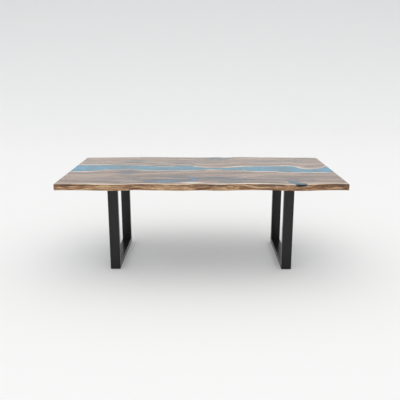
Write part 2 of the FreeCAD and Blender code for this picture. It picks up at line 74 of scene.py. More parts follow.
# How the pieces are finished
EASE = 2.0 * MM  # radius of the eased edges
LACQUER_STEP = 0.2 * MM  # from the resin's face down to the lacquered wood
BANK_OVERLAP = 0.2 * MM  # how far the river's resin reaches into its banks
EDGE_RIPPLE = 2.6 * MM  # deepest dip of the live edges
POCKET_DEPTH = 21 * MM  # of the pocket that breaks out of the front edge
POCKET_PROUD = 0.3 * MM  # how far the pocket's resin stands out from that edge's course
BREAK_MARGIN = 4 * MM  # a mouth this near the edge counts as broken out
BREAK_STRETCH = 0.6  # largest share of its size by which the pocket's bowl is drawn out there

# How walls are read from the model
FRONT, REAR = -1, 1  # which way along y a wall faces
LEVELS = (UNDERSIDE_Z + EASE, MIDDLE_Z, TOP_Z - EASE)
LEVEL_TOLERANCE = 0.02 * MM  # corners this near a height lie at it
WALL_FACING = 0.1  # least part of a wall's normal that points across the table
OUTER_REACH = 555 * MM  # the outer edges lie further than this from the middle line
TINY = 1e-12  # keeps the normals of empty triangles finite

# Grid steps
COLUMNS = 430  # along the top
END_STEPS = 3  # round its ends and its eased edges
TOP_ROWS = 64  # across a board
EDGE_ROWS = 14  # down an edge or a bank
FILL_SPOKES = 96  # round a fill
FILL_RINGS = 14  # from a fill's middle out to its mouth
BOWL_RINGS = 16  # from its mouth down to its floor
LATTICE = 64  # cells of a noise before it repeats

# How the meshes are finished
WELD = 0.01 * MM  # points nearer than this to each other are merged
SHARP_ANGLE = math.radians(38)  # edges that turn more than this are sharp

# A fill's bowl: share of its depth, then its size there against its mouth
FILL_BOWL = [(0.0, 1.0), (0.45, 0.90), (0.80, 0.68), (1.0, 0.36)]

# How the walnut grew. Cells of its noises: lengths along x, then shares of the slab's width across it
RING_SPAN = 460 * MM  # width across a slab over which its rings are laid
PITH_DEPTH = 120 * MM  # from the underside down to the pith
PITH_DIP = 95 * MM  # how far the pith wanders up and down
PITH_CELL = 0.9
LONG_WANDER = 46 * MM  # how far it wanders sideways in long bends
LONG_CELLS = (0.62, 0.8)
SHORT_WANDER = 15 * MM  # and in short ones
SHORT_CELLS = (0.17, 0.25)
OUTER_SAP_CHANGE = 0.6  # largest share by which the sapwood's width changes along the outer edge
OUTER_SAP_CELL = 0.19
OUTER_SAP_FADE = (0.55, 1.35)  # shares of that width between which it fades out
BANK_SAP = 20 * MM  # mean width of the sapwood along the banks
BANK_SAP_CHANGE = 12 * MM  # how far that width changes
BANK_SAP_CELL = 0.12
BANK_SAP_FADE = (0.5, 1.3)
LIVE_FADE = (8 * MM, 20 * MM)  # the live edge's look fades out between these distances from it
LIVE_START = (0.5 * MM, 2.5 * MM)  # and sets in between these depths below the top


# Shapes

def smooth_step(value, start, end):
    """0 before start, 1 after end, and an S-shaped rise between them."""
    share = np.clip((value - start) / (end - start), 0, 1)
    return share * share * (3 - 2 * share)


def lattice_noise(a, b, cell_a, cell_b, seed):
    """Smooth noise from -1 to 1: random values on a lattice, blended by smooth steps between its points."""
    table = np.random.default_rng(seed).uniform(-1, 1, (LATTICE, LATTICE))
    u, v = np.broadcast_arrays(a / cell_a, b / cell_b)
    i, j = np.floor(u).astype(int), np.floor(v).astype(int)
    s, t = smooth_step(u - i, 0, 1), smooth_step(v - j, 0, 1)
    here, beside = i % LATTICE, (i + 1) % LATTICE
    low, high = j % LATTICE, (j + 1) % LATTICE
    near = table[here, low] * (1 - s) + table[beside, low] * s
    far = table[here, high] * (1 - s) + table[beside, high] * s
    return near * (1 - t) + far * t


def course_noise(x, cell, seed):
    """Smooth noise from -1 to 1 along x alone."""
    return lattice_noise(x, 0 * x, cell, 1.0, seed)


def node_corners(node):
    """The corners of a CAD node's mesh, one row each."""
    mesh = frame["nodes"][node].data
    corners = np.empty(len(mesh.vertices) * 3)
    mesh.vertices.foreach_get("co", corners)
    return corners.reshape(-1, 3)


def at_level(points, height):
    """Which points lie at a height."""
    return np.abs(points[:, 2] - height) < LEVEL_TOLERANCE


def wall_course(node, facing, height, reach=0.0):
    """Where a CAD node's front or rear wall runs at a height: x and y of its corners, along x.

    Only walls that lie further out than reach from the table's middle line count.
    """
    mesh = frame["nodes"][node].data
    mesh.calc_loop_triangles()
    triangles = np.empty(len(mesh.loop_triangles) * 3, int)
    mesh.loop_triangles.foreach_get("vertices", triangles)
    sides = node_corners(node)[triangles.reshape(-1, 3)]
    normals = np.cross(sides[:, 1] - sides[:, 0], sides[:, 2] - sides[:, 0])
    normals /= np.maximum(np.linalg.norm(normals, axis=1, keepdims=True), TINY)
    walls = sides[normals[:, 1] * facing > WALL_FACING].reshape(-1, 3)
    level = walls[at_level(walls, height) & (np.abs(walls[:, 1]) > reach)]
    order = np.argsort(level[:, 0])
    return level[order, 0], level[order, 1]


class Wall:
    """A wavering wall of the top: y as a function of x and z.

    Its course is read at half height. At the two other levels the same course lies further in or out by
    an even amount, and a parabola through the three levels gives the heights between them.
    """

    def __init__(self, node, facing, reach=0.0, shift=0.0):
        self.course = wall_course(node, facing, MIDDLE_Z, reach)
        along, middle = self.course
        courses = [wall_course(node, facing, level, reach) for level in LEVELS]
        offsets = [np.median(np.interp(along, *course) - middle) for course in courses]
        self.low, self.middle, self.high = [offset + shift for offset in offsets]

    def __call__(self, x, z):
        share = (z - LEVELS[0]) / (LEVELS[2] - LEVELS[0])
        bow = 4 * (self.middle - (self.low + self.high) / 2)
        lean = self.low + (self.high - self.low) * share
        return np.interp(x, *self.course) + lean + bow * share * (1 - share)


def coons_patch(top, bottom, left, right):
    """A grid between four edge curves: both ruled blends added, less the corners' bilinear blend."""
    s = np.linspace(0, 1, len(top))[:, None, None]
    t = np.linspace(0, 1, len(left))[None, :, None]
    ruled = (1 - t) * top[:, None] + t * bottom[:, None] + (1 - s) * left[None] + s * right[None]
    corners = (1 - s) * ((1 - t) * top[0] + t * bottom[0]) + s * ((1 - t) * top[-1] + t * bottom[-1])
    return ruled - corners


def grid_faces(count_a, count_b, first=0, closed_b=False, flip=False):
    """Quads between neighbours of a grid, going round in the second direction where it is closed."""
    ids = first + np.arange(count_a * count_b).reshape(count_a, count_b)
    if closed_b:
        ids = np.concatenate([ids, ids[:, :1]], axis=1)
    corners = [ids[:-1, :-1], ids[1:, :-1], ids[1:, 1:], ids[:-1, 1:]]
    quads = np.stack(corners, axis=-1).reshape(-1, 4)
    return quads[:, ::-1] if flip else quads


def make_piece(name, points, faces, material, attributes):
    """A mesh object on the table's one body: seams merged, sharp where it turns, with attributes."""
    mesh = bpy.data.meshes.new(name)
    mesh.from_pydata(points.tolist(), [], faces)
    for label, values in attributes.items():
        layer = mesh.attributes.new(label, "FLOAT", "POINT")
        layer.data.foreach_set("value", values.astype(np.float32))
    piece = bpy.data.objects.new(name, mesh)
    bpy.context.scene.collection.objects.link(piece)
    weld_seams(mesh)
    mesh.polygons.foreach_set("use_smooth", np.ones(len(mesh.polygons), bool))
    mesh.set_sharp_from_angle(angle=SHARP_ANGLE)
    mesh.materials.append(material)
    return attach(piece, "root")


def weld_seams(mesh):
    """Merges points that lie on each other, so that the piece is one closed skin."""
    work = bmesh.new()
    work.from_mesh(mesh)
    bmesh.ops.remove_doubles(work, verts=work.verts, dist=WELD)
    bmesh.ops.dissolve_degenerate(work, edges=work.edges, dist=WELD / 2)
    work.to_mesh(mesh)
    work.free()


def plank(near, far, top_z, ease_near, ripple=None):
    """A board between two wavering walls: its section, carried along x, closed by a grid at each end.

    A point of the section lies at a share of the way from the near wall to the far wall. The section runs
    over the top, round the near edge, under the bottom and up the far wall. At each end the last columns
    turn the corner in a quarter circle.
    """
    low, high = UNDERSIDE_Z, top_z
    turn = np.linspace(0, math.pi / 2, END_STEPS + 1)
    half = LENGTH / 2 - EASE
    run = np.linspace(-half, half, COLUMNS)
    end_run = EASE * np.sin(turn[1:])
    end_drop = EASE * (1 - np.cos(turn[1:]))
    x = np.concatenate([-half - end_run[::-1], run, half + end_run])
    drop = np.concatenate([end_drop[::-1], np.zeros(COLUMNS), end_drop])

    across = 0.5 - 0.5 * np.cos(np.linspace(0, math.pi, TOP_ROWS))
    round_inset = ease_near * (1 - np.sin(turn[1:-1]))
    round_drop = ease_near * (1 - np.cos(turn[1:-1]))
    edge = np.linspace(high - ease_near, low + ease_near, EDGE_ROWS)
    if not ease_near:
        round_inset = round_drop = np.empty(0)
        edge = edge[1:-1]
    bank = np.linspace(low, high, EDGE_ROWS)[1:-1]
    still, rounds = np.zeros(TOP_ROWS), np.zeros(len(round_inset))
    eased = still + ease_near
    share = np.concatenate([across[::-1], rounds, 0 * edge, rounds, across, np.ones(len(bank))])
    z = np.concatenate([still + high, high - round_drop, edge, low + round_drop[::-1], still + low, bank])
    inset = np.concatenate([eased, round_inset, 0 * edge, round_inset[::-1], eased, 0 * bank])

    z = np.clip(z[None, :], low + drop[:, None], high - drop[:, None])
    x = np.broadcast_to(x[:, None], z.shape)
    near_y, far_y = near(x, z), far(x, z)
    way = np.sign(np.mean(far_y - near_y))
    if ripple is not None:
        near_y = near_y + way * ripple(x, z)
    y = (1 - share) * (near_y + way * inset) + share * far_y
    points = np.stack([x, y, z], axis=-1)

    columns, rows = z.shape
    faces = [grid_faces(columns, rows, closed_b=True, flip=way > 0)]
    all_points = [points.reshape(-1, 3)]
    top_count = TOP_ROWS + len(rounds)
    bottom_end = rows - len(bank)
    for column, flip in ((0, way < 0), (columns - 1, way > 0)):
        ring = points[column]
        top = ring[:top_count][::-1]
        bottom = ring[bottom_end - top_count:bottom_end]
        near_side = ring[top_count:bottom_end - top_count]
        far_side = np.concatenate([top[-1:], ring[bottom_end:][::-1], bottom[-1:]])
        if ease_near:
            top = np.concatenate([near_side[:1], top])
            bottom = np.concatenate([near_side[-1:], bottom])
        else:
            near_side = np.concatenate([top[:1], near_side, bottom[:1]])
        cap = coons_patch(top, bottom, near_side, far_side)
        faces.append(grid_faces(len(top), len(near_side), first=sum(map(len, all_points)), flip=flip))
        all_points.append(cap.reshape(-1, 3))
    return np.concatenate(all_points), np.concatenate(faces)


def soft_ovals(x, y, ovals):
    """The strongest of several ovals at each point, each fading out from its middle as a bell curve."""
    middle_x, middle_y, reach_x, reach_y, strength = np.array(ovals).T[:, :, None]
    away = ((x - middle_x) / reach_x) ** 2 + ((y - middle_y) / reach_y) ** 2
    return np.max(strength * np.exp(-away), axis=0)


def soft_stretches(x, stretches):
    """The sum of several stretches along x, darker (+) or lighter (-), each fading as a bell curve."""
    middle, reach, strength = np.array(stretches).T[:, :, None]
    return np.sum(strength * np.exp(-((x - middle) / reach) ** 2), axis=0)


def slab_attributes(points, near, far, clouds, pale_patches, edge_tones, outer_sap, pith_share, seed):
    """What the walnut's colour follows, at each point.

    growth: distance from a wandering pith below the slab, in metres, measured across lines that follow
    both edges, so that its rings arch on the end and run in long loops on the top. sap: pale sapwood next
    to the outer edge, along the bank and in a few patches. edge: the live edge itself, and shade, its
    darker and lighter stretches. figure: dark clouds of heartwood.
    """
    x, y, z = points.T
    near_y, far_y = near(x, z), far(x, z)
    outer_gap, bank_gap = np.abs(y - near_y), np.abs(far_y - y)
    share = np.clip(outer_gap / np.abs(far_y - near_y), 0, 1)
    long_bends = LONG_WANDER * lattice_noise(x, share, *LONG_CELLS, seed)
    short_bends = SHORT_WANDER * lattice_noise(x, share, *SHORT_CELLS, seed + 1)
    pith_z = UNDERSIDE_Z - PITH_DEPTH - PITH_DIP * course_noise(x, PITH_CELL, seed + 2)
    sideways = (share - pith_share) * RING_SPAN + (long_bends + short_bends)
    outer_sap = outer_sap * (1 + OUTER_SAP_CHANGE * course_noise(x, OUTER_SAP_CELL, seed + 3))
    bank_sap = BANK_SAP + BANK_SAP_CHANGE * course_noise(x, BANK_SAP_CELL, seed + 4)
    outer_pale = 1 - smooth_step(outer_gap / outer_sap, *OUTER_SAP_FADE)
    bank_pale = 1 - smooth_step(bank_gap / bank_sap, *BANK_SAP_FADE)
    return {
        "growth": np.hypot(sideways, z - pith_z),
        "sap": np.maximum(np.maximum(outer_pale, bank_pale), soft_ovals(x, y, pale_patches)),
        "edge": smooth_step(TOP_Z - z, *LIVE_START) * (1 - smooth_step(outer_gap, *LIVE_FADE)),
        "shade": soft_stretches(x, edge_tones),
        "figure": soft_ovals(x, y, clouds),
    }


def outline_at(node, height):
    """A fill's outline at a height, from the CAD node's corners: its middle, and radii at even angles."""
    corners = node_corners(node)
    level = corners[at_level(corners, height), :2]
    middle = (level.min(0) + level.max(0)) / 2
    away = level - middle
    angle = np.arctan2(away[:, 1], away[:, 0])
    order = np.argsort(angle)
    even = np.linspace(-math.pi, math.pi, FILL_SPOKES, endpoint=False)
    return middle, even, np.interp(even, angle[order], np.hypot(*away[order].T), period=math.tau)


def resin_fill(node, material, floor_z, wall=None):
    """A resin-filled hollow: rings from its middle out to its mouth, then down and in along its bowl.

    Where the hollow breaks out of the table's edge, its bowl is drawn out past the edge, most in the
    middle of the break, and what lies outside the wall is laid back on it.
    """
    middle, angle, mouth = outline_at(node, TOP_Z)
    mouth_x, mouth_y = mouth * np.cos(angle), mouth * np.sin(angle)
    rings = np.linspace(0, 1, FILL_RINGS + 1)[1:]
    bowl_depth = np.linspace(0, 1, BOWL_RINGS + 1)[1:]
    reach = np.concatenate([rings, np.interp(bowl_depth, *np.array(FILL_BOWL).T)])
    z = np.concatenate([0 * rings + TOP_Z, TOP_Z + bowl_depth * (floor_z - TOP_Z)])[:, None]
    x = middle[0] + reach[:, None] * mouth_x
    y = middle[1] + reach[:, None] * mouth_y
    if wall is not None:
        broken = angle[middle[1] + mouth_y < wall(middle[0] + mouth_x, TOP_Z) + BREAK_MARGIN]
        along_break = np.clip((angle - broken.min()) / (broken.max() - broken.min()), 0, 1)
        stretch = BREAK_STRETCH * np.sqrt(np.sin(math.pi * along_break))
        drawn_out = y + reach[:, None] * mouth_y * stretch
        laid_back = np.maximum(drawn_out, wall(x, z) - POCKET_PROUD)
        y = np.where(z < TOP_Z, laid_back, y)
    walls = np.stack(np.broadcast_arrays(x, y, z), axis=-1).reshape(-1, 3)
    points = np.concatenate([walls, [[*middle, TOP_Z], [*middle, floor_z]]])
    depth = np.append(np.repeat(1 - reach, FILL_SPOKES), [1.0, 1.0])

    spoke = np.arange(FILL_SPOKES)
    after = np.roll(spoke, -1)
    top_pole = np.full(FILL_SPOKES, len(walls))
    floor_pole = top_pole + 1
    last_ring = len(walls) - FILL_SPOKES
    top_fan = np.stack([top_pole, spoke, after], axis=1)
    floor_fan = np.stack([floor_pole, last_ring + after, last_ring + spoke], axis=1)
    skin = grid_faces(len(reach), FILL_SPOKES, closed_b=True)
    faces = skin.tolist() + top_fan.tolist() + floor_fan.tolist()
    piece = make_piece(f"{node}_resin", points, faces, material, {"depth": depth})
    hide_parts(node)


# Materials

# Sockets of a Mix node that blends two colours
MIX_SHARE, MIX_FROM, MIX_TO, MIX_RESULT = 0, 6, 7, 2

# Where in its noise the swirl of the live edges starts
SWIRL_START = (1.46, 0.62, 0.0)


def linear(colour):
    """A colour written as sRGB hex, as linear red, green, blue and alpha."""
    parts = [int(colour[i:i + 2], 16) / 255 for i in (1, 3, 5)]
    return [c / 12.92 if c <= 0.04045 else ((c + 0.055) / 1.055) ** 2.4 for c in parts] + [1.0]


def grain_scale(along, across):
    """Scale of a pattern whose cells are so many millimetres long along x, and so many across."""
    return 1 / (along * MM), 1 / (across * MM), 1 / (across * MM)


def add(tree, kind, inputs, stops=(), **settings):
    """Adds a node: its settings, its sockets' values or links, and the stops of a colour ramp."""
    made = tree.nodes.new(f"ShaderNode{kind}")
    for name, value in settings.items():
        setattr(made, name, value)
    if stops:
        ramp = made.color_ramp.elements
        ramp.remove(ramp[1])
        ramp[0].position = stops[0][0]
        ramp[0].color = linear(stops[0][1])
        for place, colour in stops[1:]:
            ramp.new(place).color = linear(colour)
    for socket, value in inputs.items():
        if isinstance(value, bpy.types.NodeSocket):
            tree.links.new(value, made.inputs[socket])
        else:
            made.inputs[socket].default_value = value
    return made


def new_material(name):
    """A material with an empty node tree but for its output."""
    material = bpy.data.materials.new(name)
    material.use_nodes = True
    tree = material.node_tree
    tree.nodes.clear()
    return material, tree, tree.nodes.new("ShaderNodeOutputMaterial")


def lacquered_walnut():
    """Black walnut under a clear satin-gloss lacquer, planed and sanded.

    Rings of pale early wood and dark late wood, long dark streaks, fine pores, dark clouds of figure and
    honey-pale sapwood, all under a smooth clear film that mirrors the room at a low angle.
    """
    material, tree, output = new_material("lacquered_walnut")
    place = add(tree, "TexCoord", {}).outputs["Object"]
    growth, sap, edge, shade, figure = [
        add(tree, "Attribute", {}, attribute_name=name).outputs["Fac"]
        for name in ("growth", "sap", "edge", "shade", "figure")]

    streak_map = add(tree, "Mapping", {"Vector": place, "Scale": grain_scale(900, 13)})
    streak = add(tree, "TexNoise", {
        "Vector": streak_map.outputs[0], "Scale": 1.0, "Detail": 4.0, "Roughness": 0.6,
        "Distortion": 0.25}).outputs["Fac"]
    cloud_map = add(tree, "Mapping", {"Vector": place, "Scale": grain_scale(420, 95)})
    cloud = add(tree, "TexNoise", {
        "Vector": cloud_map.outputs[0], "Scale": 1.0, "Detail": 3.0, "Distortion": 1.1}).outputs["Fac"]
    swirl_map = add(tree, "Mapping", {
        "Vector": place, "Location": SWIRL_START, "Scale": grain_scale(130, 12)})
    swirl = add(tree, "TexNoise", {
        "Vector": swirl_map.outputs[0], "Scale": 1.0, "Detail": 3.0, "Distortion": 1.3}).outputs["Fac"]
    pore_map = add(tree, "Mapping", {"Vector": place, "Scale": grain_scale(26, 0.9)})
    pore = add(tree, "TexNoise", {
        "Vector": pore_map.outputs[0], "Scale": 1.0, "Detail": 2.0}).outputs["Fac"]

    # Broad bands that the clouds bend, and rings that the streaks shift, dark at their late wood
    band_width = 62 * MM
    band_bend = 7.0  # radians
    ring_width = 13 * MM
    ring_shift = 1.4  # rings
    late_wood_power = 2.4
    turn = add(tree, "Math", {0: growth, 1: math.tau / band_width}, operation="MULTIPLY").outputs[0]
    turn = add(tree, "Math", {0: cloud, 1: band_bend, 2: turn}, operation="MULTIPLY_ADD").outputs[0]
    band = add(tree, "Math", {0: turn}, operation="SINE").outputs[0]
    count = add(tree, "Math", {0: growth, 1: 1 / ring_width}, operation="MULTIPLY").outputs[0]
    count = add(tree, "Math", {0: streak, 1: ring_shift, 2: count}, operation="MULTIPLY_ADD").outputs[0]
    ring = add(tree, "Math", {0: count}, operation="FRACT").outputs[0]
    late_wood = add(tree, "Math", {0: ring, 1: late_wood_power}, operation="POWER").outputs[0]

    # The wood's tone, darker as it rises: each pattern with its strength, on top of a start
    tone = -0.09
    for pattern, strength in (
            (late_wood, 0.18), (band, 0.13), (streak, 0.56), (cloud, 0.40), (pore, 0.15)):
        tone = add(tree, "Math", {0: pattern, 1: strength, 2: tone}, operation="MULTIPLY_ADD").outputs[0]

    # The live edge's tone, darker towards the top
    height = add(tree, "SeparateXYZ", {0: place}).outputs["Z"]
    rim = add(tree, "MapRange", {
        "Value": height, "From Min": TOP_Z - 28 * MM, "From Max": TOP_Z - 3 * MM, "To Min": -0.82,
        "To Max": -0.60}).outputs[0]
    edge_tone = add(tree, "Math", {0: swirl, 1: 1.5, 2: rim}, operation="MULTIPLY_ADD").outputs[0]
    for pattern in (tone, shade):
        edge_tone = add(tree, "Math", {0: edge_tone, 1: pattern}, operation="ADD").outputs[0]

    heart = add(tree, "ValToRGB", {"Fac": tone}, stops=[
        (0.22, "#B69C88"), (0.44, "#947A68"), (0.62, "#6F5648"), (0.85, "#3C2D26")])
    pale = add(tree, "ValToRGB", {"Fac": tone}, stops=[
        (0.22, "#F7F0E4"), (0.48, "#E8DAC4"), (0.72, "#BF9F7C"), (0.92, "#775A42")])
    live = add(tree, "ValToRGB", {"Fac": edge_tone}, stops=[
        (0.15, "#D2B48C"), (0.42, "#AC8660"), (0.66, "#835A3A"), (0.92, "#4E301E")])

    # Streaks fray the border of the sapwood and break up the clouds of figure
    fray = add(tree, "Math", {0: streak, 1: 0.9, 2: -0.45}, operation="MULTIPLY_ADD").outputs[0]
    sap_share = add(tree, "Math", {0: sap, 1: fray}, operation="ADD", use_clamp=True).outputs[0]
    dark = add(tree, "Math", {0: streak, 1: 2.6, 2: -0.8}, operation="MULTIPLY_ADD").outputs[0]
    dark = add(tree, "Math", {0: cloud, 1: dark}, operation="ADD").outputs[0]
    dark_share = add(tree, "Math", {0: dark, 1: figure}, operation="MULTIPLY", use_clamp=True).outputs[0]
    wood = heart.outputs[0]
    for share, colour in (
            (sap_share, pale.outputs[0]), (edge, live.outputs[0]), (dark_share, linear("#1B384A"))):
        wood = add(tree, "Mix", {MIX_SHARE: share, MIX_FROM: wood, MIX_TO: colour},
                   data_type="RGBA").outputs[MIX_RESULT]

    film = add(tree, "MapRange", {"Value": pore, "To Min": 0.10, "To Max": 0.20}).outputs[0]
    grain_bump = add(tree, "Bump", {"Height": tone, "Strength": 0.05, "Distance": 0.4 * MM})
    shader = add(tree, "BsdfPrincipled", {
        "Base Color": wood, "Roughness": film, "IOR": 1.5, "Normal": grain_bump.outputs[0]})
    tree.links.new(shader.outputs[0], output.inputs["Surface"])
    return material


def polished(tree, output, body, roughness):
    """A clear polished skin over a body's shader: it mirrors by Fresnel's law on the outside only."""
    mirror = add(tree, "BsdfGlossy", {"Color": (1, 1, 1, 1), "Roughness": roughness})
    inside = add(tree, "NewGeometry", {}).outputs["Backfacing"]
    outside = add(tree, "Math", {0: 1.0, 1: inside}, operation="SUBTRACT").outputs[0]
    fresnel = add(tree, "Fresnel", {"IOR": 1.46}).outputs[0]
    share = add(tree, "Math", {0: fresnel, 1: outside}, operation="MULTIPLY").outputs[0]
    skin = add(tree, "MixShader", {0: share, 1: body.outputs[0], 2: mirror.outputs[0]})
    tree.links.new(skin.outputs[0], output.inputs["Surface"])


def cast_river_resin():
    """Cast epoxy, tinted pale blue and cloudy, ground flat and polished.

    Part of the light scatters back from the cloudy body and part soaks through it to the floor; slow
    swirls of pigment and a few smoky strokes run along the pour, and the polished face mirrors the room
    at a low angle.
    """
    material, tree, output = new_material("cast_river_resin")
    place = add(tree, "TexCoord", {}).outputs["Object"]
    smoke = add(tree, "Attribute", {}, attribute_name="smoke").outputs["Fac"]
    swirl_map = add(tree, "Mapping", {"Vector": place, "Scale": grain_scale(340, 80)})
    swirl = add(tree, "TexNoise", {
        "Vector": swirl_map.outputs[0], "Scale": 1.0, "Detail": 4.0, "Distortion": 1.6}).outputs["Fac"]
    tint = add(tree, "ValToRGB", {"Fac": swirl}, stops=[
        (0.28, "#196F88"), (0.5, "#247F98"), (0.72, "#3994AA")])

    # The underside lets almost all of the light out
    height = add(tree, "SeparateXYZ", {0: place}).outputs["Z"]
    below = add(tree, "MapRange", {
        "Value": height, "From Min": UNDERSIDE_Z + 1.5 * MM, "From Max": UNDERSIDE_Z + 0.5 * MM}).outputs[0]
    let_through = add(tree, "MapRange", {"Value": below, "To Min": 0.58, "To Max": 0.95}).outputs[0]
    glow_tint = add(tree, "Mix", {
        MIX_SHARE: below, MIX_FROM: linear("#34BEEE"), MIX_TO: linear("#E8F8FF")},
        data_type="RGBA").outputs[MIX_RESULT]
    scattered = add(tree, "BsdfDiffuse", {"Color": tint.outputs[0]})
    soaked = add(tree, "BsdfTranslucent", {"Color": glow_tint})
    clear = add(tree, "MixShader", {0: let_through, 1: scattered.outputs[0], 2: soaked.outputs[0]})
    smoky = add(tree, "BsdfDiffuse", {"Color": linear("#52626A")})
    body = add(tree, "MixShader", {0: smoke, 1: clear.outputs[0], 2: smoky.outputs[0]})
    polished(tree, output, body, roughness=0.04)
    return material


def cast_fill_resin(name, stops):
    """The same epoxy in cracks: dark wood shows through at the rim, and it is cloudy towards the middle."""
    material, tree, output = new_material(name)
    place = add(tree, "TexCoord", {}).outputs["Object"]
    depth = add(tree, "Attribute", {}, attribute_name="depth").outputs["Fac"]
    swirl_map = add(tree, "Mapping", {"Vector": place, "Scale": grain_scale(70, 24)})
    swirl = add(tree, "TexNoise", {
        "Vector": swirl_map.outputs[0], "Scale": 1.0, "Detail": 5.0, "Distortion": 1.4}).outputs["Fac"]

    # Cloudier inwards from the rim, and broken up by the swirls
    inward = add(tree, "Math", {0: depth, 1: 0.6, 2: -0.06}, operation="MULTIPLY_ADD").outputs[0]
    cloud = add(tree, "Math", {0: swirl, 1: 1.2, 2: inward}, operation="MULTIPLY_ADD").outputs[0]
    tint = add(tree, "ValToRGB", {"Fac": cloud}, stops=stops)
    body = add(tree, "BsdfDiffuse", {"Color": tint.outputs[0]})
    polished(tree, output, body, roughness=0.06)
    return material


def dark_pocket_resin():
    """Clear epoxy over dark rotten wood, near black on the edge; its top face is painted a lighter
    blue-grey for the light that enters there from above.
    """
    material, tree, output = new_material("dark_pocket_resin")
    place = add(tree, "TexCoord", {}).outputs["Object"]
    height = add(tree, "SeparateXYZ", {0: place}).outputs["Z"]
    # Painted light: the top millimetre is coloured a lit blue-grey as if light from above entered it, while
    # the edge below stays near black
    rim = add(tree, "MapRange", {
        "Value": height, "From Min": TOP_Z - 1.2 * MM, "From Max": TOP_Z - 0.2 * MM}).outputs[0]
    mottle = add(tree, "TexNoise", {
        "Vector": place, "Scale": 1 / (26 * MM), "Detail": 5.0, "Distortion": 1.0}).outputs["Fac"]
    top = add(tree, "ValToRGB", {"Fac": mottle}, stops=[
        (0.32, "#223A4A"), (0.5, "#2E536A"), (0.68, "#44748E")])
    edge = add(tree, "ValToRGB", {"Fac": mottle}, stops=[(0.35, "#0B0C0D"), (0.65, "#1A1A19")])
    tint = add(tree, "Mix", {
        MIX_SHARE: rim, MIX_FROM: edge.outputs[0], MIX_TO: top.outputs[0]},
        data_type="RGBA").outputs[MIX_RESULT]
    body = add(tree, "BsdfDiffuse", {"Color": tint})
    polished(tree, output, body, roughness=0.08)
    return material


def black_powder_coat():
    """Black polyester powder coat on steel: a fine orange-peel skin, almost black, with a dull sheen."""
    material, tree, output = new_material("black_powder_coat")
    place = add(tree, "TexCoord", {}).outputs["Object"]
    peel = add(tree, "TexNoise", {
        "Vector": place, "Scale": 1 / (2.2 * MM), "Detail": 3.0}).outputs["Fac"]
    cloud = add(tree, "TexNoise", {
        "Vector": place, "Scale": 1 / (160 * MM), "Detail": 4.0}).outputs["Fac"]
    colour = add(tree, "ValToRGB", {"Fac": cloud}, stops=[(0.35, "#0B0B0C"), (0.65, "#121213")])
    sheen = add(tree, "MapRange", {"Value": cloud, "To Min": 0.20, "To Max": 0.30}).outputs[0]
    skin = add(tree, "Bump", {"Height": peel, "Strength": 0.12, "Distance": 0.15 * MM})
    shader = add(tree, "BsdfPrincipled", {
        "Base Color": colour.outputs[0], "Roughness": sheen, "Specular IOR Level": 0.38,
        "Normal": skin.outputs[0]})
    tree.links.new(shader.outputs[0], output.inputs["Surface"])
    return material


def plated_metal(name, bright, dull, roughness):
    """Plated or turned metal: bright, with faint mottling from the bath or the tool."""
    material, tree, output = new_material(name)
    place = add(tree, "TexCoord", {}).outputs["Object"]
    mottle = add(tree, "TexNoise", {
        "Vector": place, "Scale": 1 / (4 * MM), "Detail": 3.0}).outputs["Fac"]
    colour = add(tree, "ValToRGB", {"Fac": mottle}, stops=[(0.3, dull), (0.7, bright)])
    rough = add(tree, "MapRange", {
        "Value": mottle, "To Min": roughness, "To Max": roughness + 0.12}).outputs[0]
    shader = add(tree, "BsdfPrincipled", {
        "Base Color": colour.outputs[0], "Metallic": 1.0, "Roughness": rough})
    tree.links.new(shader.outputs[0], output.inputs["Surface"])
    return material


def moulded_nylon():
    """Black moulded nylon: matt, with a fine spark-eroded grain."""
    material, tree, output = new_material("moulded_nylon")
    place = add(tree, "TexCoord", {}).outputs["Object"]
    grain = add(tree, "TexNoise", {
        "Vector": place, "Scale": 1 / (0.8 * MM), "Detail": 2.0}).outputs["Fac"]
    colour = add(tree, "ValToRGB", {"Fac": grain}, stops=[(0.3, "#121213"), (0.7, "#1C1C1D")])
    skin = add(tree, "Bump", {"Height": grain, "Strength": 0.15, "Distance": 0.1 * MM})
    shader = add(tree, "BsdfPrincipled", {
        "Base Color": colour.outputs[0], "Roughness": 0.6, "Normal": skin.outputs[0]})
    tree.links.new(shader.outputs[0], output.inputs["Surface"])
    return material


# Tabletop

front_edge = Wall("front_slab", FRONT, reach=OUTER_REACH)
rear_edge = Wall("rear_slab", REAR, reach=OUTER_REACH)
front_bank = Wall("river_resin", FRONT)
rear_bank = Wall("river_resin", REAR)
resin_front = Wall("river_resin", FRONT, shift=-BANK_OVERLAP)
resin_rear = Wall("river_resin", REAR, shift=BANK_OVERLAP)

# Dark clouds of heartwood and patches of sapwood: middle x and y, reach along and across, strength
FRONT_CLOUDS = [
    (-0.28, -0.48, 0.25, 0.050, 1.2), (0.05, -0.38, 0.24, 0.045, 1.1), (0.28, -0.44, 0.16, 0.045, 1.0),
    (-0.60, -0.14, 0.09, 0.13, 0.8), (-0.19, -0.345, 0.15, 0.045, 0.9), (0.16, -0.335, 0.14, 0.035, 0.6),
    (-0.70, -0.41, 0.22, 0.05, 0.5), (0.70, -0.43, 0.14, 0.06, 0.7), (0.55, -0.34, 0.18, 0.03, 0.5),
]
REAR_CLOUDS = [
    (-0.59, 0.37, 0.08, 0.05, 0.75), (-0.36, 0.17, 0.10, 0.06, 0.9), (-0.20, 0.29, 0.14, 0.05, 0.5),
    (-0.18, 0.17, 0.10, 0.04, 0.6), (0.60, 0.36, 0.16, 0.05, 0.6), (0.86, 0.39, 0.12, 0.05, 0.6),
    (0.15, 0.49, 0.12, 0.07, 1.0),
]
FRONT_PATCHES = [(-0.07, -0.545, 0.08, 0.028, 1.1), (0.07, -0.03, 0.06, 0.03, 0.9)]
REAR_PATCHES = [(0.82, 0.085, 0.05, 0.035, 1.0), (-0.335, 0.20, 0.08, 0.018, 0.8)]

